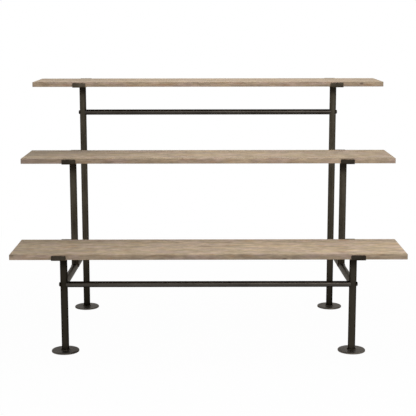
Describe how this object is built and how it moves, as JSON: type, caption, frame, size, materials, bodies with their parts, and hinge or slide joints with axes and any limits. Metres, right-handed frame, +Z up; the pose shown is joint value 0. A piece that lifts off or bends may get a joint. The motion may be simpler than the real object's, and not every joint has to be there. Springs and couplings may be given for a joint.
{
  "type": "pipe shelving unit",
  "caption": "Free-standing shelving unit whose long wooden boards rise in steps on a bolted frame of round steel pipe with disc feet.",
  "frame": {"origin": "on the floor, under the centre of the unit's box", "axes": "+Z up, front (the lowest board) towards -Y, left towards -X"},
  "size_m": [1.829, 1.1896, 1.254],
  "materials": {
    "weathered_wood": "greyed reclaimed boards, flat sawn and edge glued, with a thin dull oil",
    "blackened_steel": "dark bronze lacquer over steel pipe and flat bar",
    "blackened_fixings": "the same dark lacquer over bolts and washers",
    "plain_steel": "bare turned steel inside the rails",
    "zinc_plated_screw": "zinc-plated wood screws"
  },
  "bodies": {
    "root": {"front_cross_rail": "blackened_steel", "front_rail_bolts": "blackened_fixings", "front_rail_plugs": "plain_steel", "front_rail_washers": "blackened_fixings", "front_shelf": "weathered_wood", "front_shelf_screws": "zinc_plated_screw", "left_front_foot": "blackened_steel", "left_front_leg": "blackened_steel", "left_front_saddle": "blackened_steel", "left_middle_post": "blackened_steel", "left_middle_saddle": "blackened_steel", "left_rear_foot": "blackened_steel", "left_rear_leg": "blackened_steel", "left_rear_saddle": "blackened_steel", "left_side_rail": "blackened_steel", "middle_shelf": "weathered_wood", "middle_shelf_screws": "zinc_plated_screw", "rear_cross_rail": "blackened_steel", "rear_rail_bolts": "blackened_fixings", "rear_rail_plugs": "plain_steel", "rear_rail_washers": "blackened_fixings", "right_front_foot": "blackened_steel", "right_front_leg": "blackened_steel", "right_front_saddle": "blackened_steel", "right_middle_post": "blackened_steel", "right_middle_saddle": "blackened_steel", "right_rear_foot": "blackened_steel", "right_rear_leg": "blackened_steel", "right_rear_saddle": "blackened_steel", "right_side_rail": "blackened_steel", "top_shelf": "weathered_wood", "top_shelf_screws": "zinc_plated_screw"}
  },
  "joints": []
}
